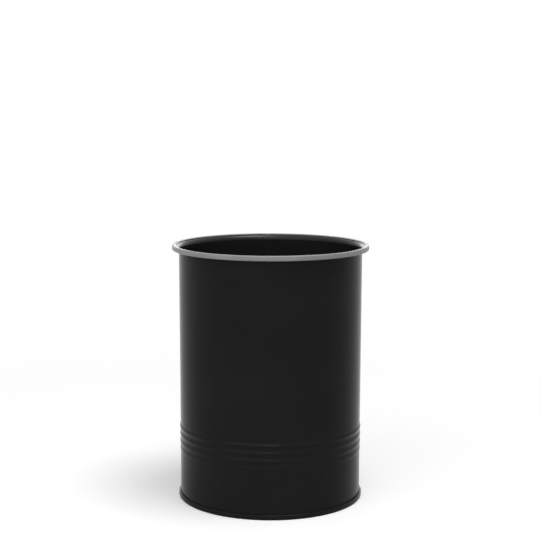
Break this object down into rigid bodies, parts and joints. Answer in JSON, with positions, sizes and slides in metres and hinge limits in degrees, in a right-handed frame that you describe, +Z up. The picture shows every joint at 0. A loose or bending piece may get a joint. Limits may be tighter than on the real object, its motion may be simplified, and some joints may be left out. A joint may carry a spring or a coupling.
{
  "type": "utensil holder",
  "caption": "Round black steel tin that holds kitchen utensils upright, with a rolled grey rim, shallow rolled beads near its foot and a seamed base.",
  "frame": {"origin": "centre of the foot ring, on the surface that the tin stands on", "axes": "+Z up along the tin's axis, towards the rim; +Y towards the back seam, so the pictured side faces -Y"},
  "size_m": [0.1382, 0.1382, 0.18],
  "materials": {
    "black_coat": "satin black coating on steel sheet",
    "grey_rim": "satin grey",
    "wire_steel": "drawn steel wire"
  },
  "bodies": {
    "root": {"side_wall": "black_coat", "base_pan": "black_coat", "rim_band": "grey_rim", "rim_wire": "wire_steel"}
  },
  "joints": []
}
